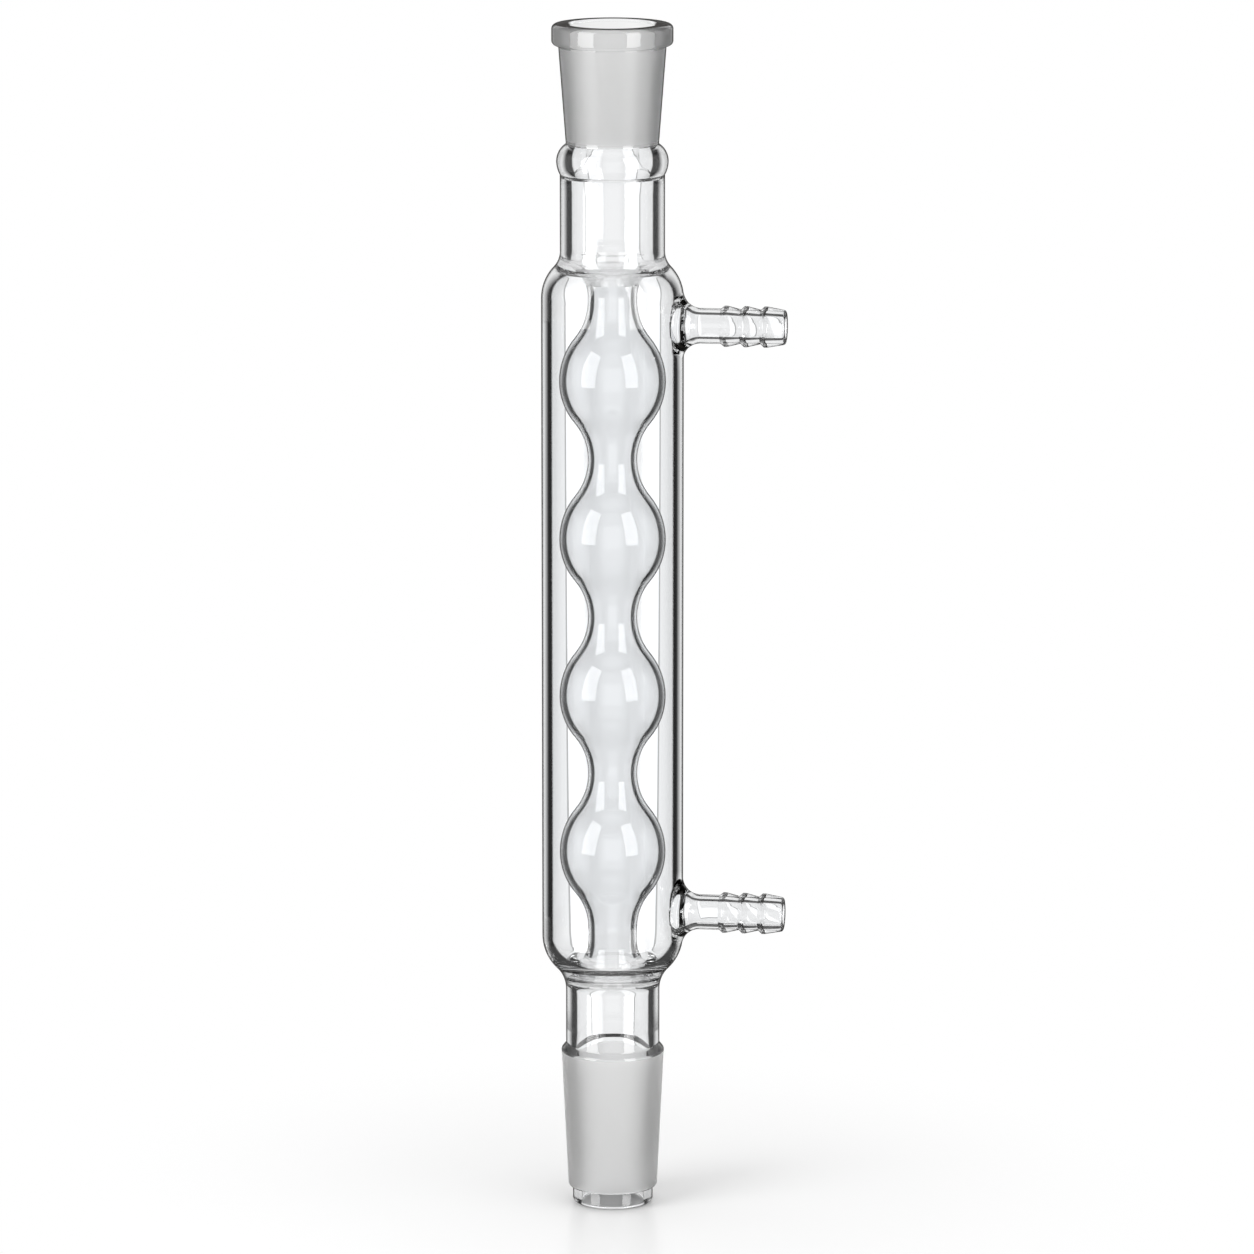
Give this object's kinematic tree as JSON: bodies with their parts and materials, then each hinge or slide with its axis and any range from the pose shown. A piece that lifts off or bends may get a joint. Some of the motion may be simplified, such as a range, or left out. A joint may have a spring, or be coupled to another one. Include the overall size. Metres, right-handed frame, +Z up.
{
  "type": "allihn condenser",
  "caption": "Blown glass reflux condenser: a bulbed vapour tube inside a water jacket, with a ground socket above, a ground cone below and barbed hose arms at one side.",
  "frame": {"origin": "on the glass axis, in the plane of the drip rim's foot", "axes": "+Z up along the glass axis towards the socket, +X along both hose arms, +Y by the right-hand rule"},
  "size_m": [0.069, 0.04, 0.3381],
  "materials": {
    "glass": "clear fire-polished borosilicate glass, frosted where the socket bore and the cone are ground"
  },
  "bodies": {
    "root": {"condenser_glass": "glass"}
  },
  "joints": []
}
